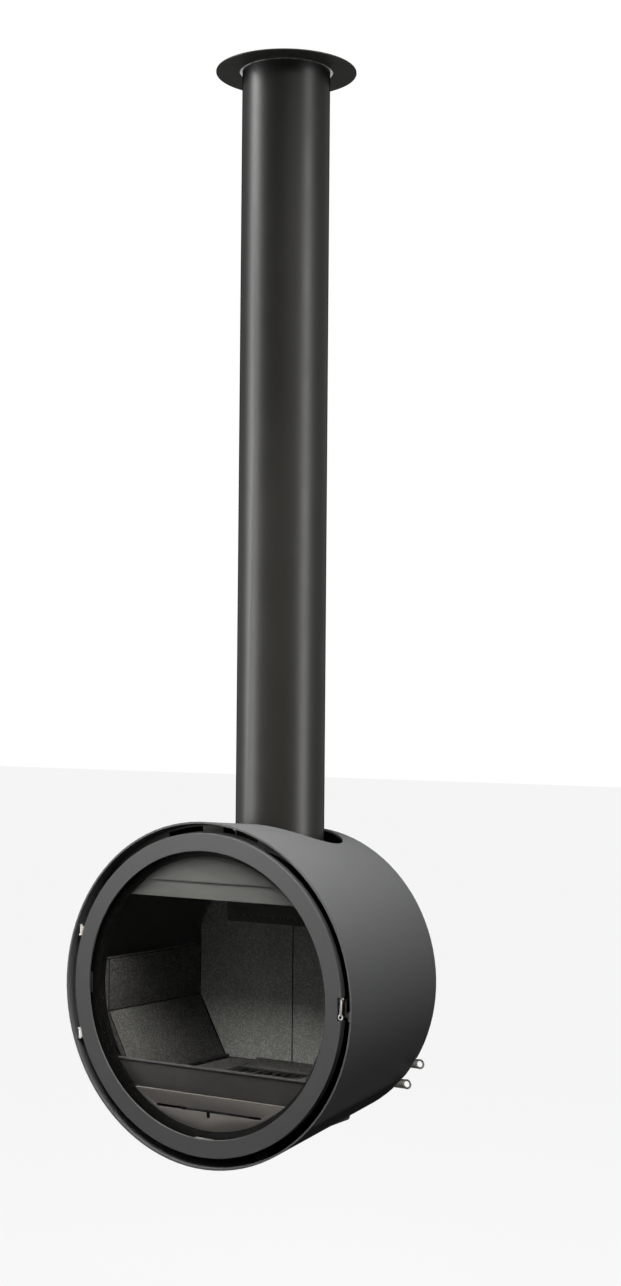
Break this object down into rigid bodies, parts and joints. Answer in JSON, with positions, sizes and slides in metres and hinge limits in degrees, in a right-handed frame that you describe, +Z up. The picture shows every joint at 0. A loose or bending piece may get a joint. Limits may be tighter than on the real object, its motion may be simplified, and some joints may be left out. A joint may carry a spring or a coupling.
{
  "type": "hanging fireplace",
  "caption": "Wall-hung round drum wood stove with a hinged glass door, brick-lined firebox, sliding air controls and a straight flue to the ceiling.",
  "frame": {"origin": "on the wall's face, where the drum's axis meets it", "axes": "+Z up, +Y from the room into the wall along the drum's axis, +X to the right seen from the room; the door faces -Y"},
  "size_m": [0.7296, 0.5, 2.4298],
  "materials": {
    "casing_paint": "satin anthracite stove paint",
    "rear_black": "matt black stove paint",
    "firebox_steel": "matt dark grey, heat-dulled",
    "fire_iron": "rough cast, sooty",
    "bare_steel": "bare brushed steel",
    "zinc_sheet": "galvanised sheet",
    "stove_glass": "clear ceramic glass",
    "vermiculite": null,
    "rope": "braided fibreglass rope, dark grey"
  },
  "bodies": {
    "stove": {"air_chest": "rear_black", "ash_pan": "zinc_sheet", "ash_pan_shelf": "firebox_steel", "back_panel_left": "vermiculite", "back_panel_right": "vermiculite", "baffle_panel": "vermiculite", "casing_shell": "casing_paint", "ceiling_rosette": "casing_paint", "ceiling_sleeve": "zinc_sheet", "deflector_hood": "firebox_steel", "deflector_strip": "firebox_steel", "ember_rail_left": "fire_iron", "ember_rail_right": "fire_iron", "firebox_back": "firebox_steel", "firebox_shell": "firebox_steel", "floor_brick_front": "vermiculite", "floor_brick_left": "vermiculite", "floor_brick_rear": "vermiculite", "floor_brick_right": "vermiculite", "floor_plate": "firebox_steel", "flue_collar": "fire_iron", "flue_pipe": "casing_paint", "front_grille": "casing_paint", "grate": "fire_iron", "hang_bar": "rear_black", "hinge_bracket_lower": "bare_steel", "hinge_bracket_upper": "bare_steel", "hinge_pin_lower": "bare_steel", "hinge_pin_upper": "bare_steel", "latch_keeper": "bare_steel", "log_fence": "fire_iron", "lower_apron": "firebox_steel", "mouth_flange": "firebox_steel", "rear_cover": "rear_black", "secondary_air_channel": "firebox_steel", "side_panel_lower_left": "vermiculite", "side_panel_lower_right": "vermiculite", "side_panel_upper_left": "vermiculite", "side_panel_upper_right": "vermiculite", "wall_anchor_1": "zinc_sheet", "wall_anchor_2": "zinc_sheet", "wall_anchor_3": "zinc_sheet", "wall_anchor_4": "zinc_sheet", "wall_bracket": "rear_black"},
    "door": {"door_ring": "casing_paint", "door_glass": "stove_glass", "glass_tape": "rope", "glass_clip_right": "bare_steel", "glass_clip_top": "bare_steel", "glass_clip_left": "bare_steel", "glass_clip_bottom": "bare_steel", "rope_seal": "rope", "door_hinge_upper": "bare_steel", "door_hinge_lower": "bare_steel", "latch_bracket": "bare_steel"},
    "latch": {"latch_shaft": "bare_steel", "latch_lever": "bare_steel", "latch_hook": "bare_steel"},
    "primary_slide": {"primary_air_slide": "bare_steel"},
    "secondary_slide": {"secondary_air_slide": "bare_steel"}
  },
  "joints": [
    {"name": "door_hinge", "type": "hinge", "parent": "stove", "child": "door", "pos_m": [-0.331, -0.49, 0], "axis": [0, 0, -1], "range_deg": [0, 90]},
    {"name": "latch_turn", "type": "hinge", "parent": "door", "child": "latch", "pos_m": [0.3394, -0.49, 0.018], "axis": [0, -1, 0], "range_deg": [-2, 8]},
    {"name": "primary_air", "type": "slide", "parent": "stove", "child": "primary_slide", "axis": [1, 0, 0], "range_m": [-0.008, 0.03]},
    {"name": "secondary_air", "type": "slide", "parent": "stove", "child": "secondary_slide", "axis": [1, 0, 0], "range_m": [0, 0.038]}
  ]
}
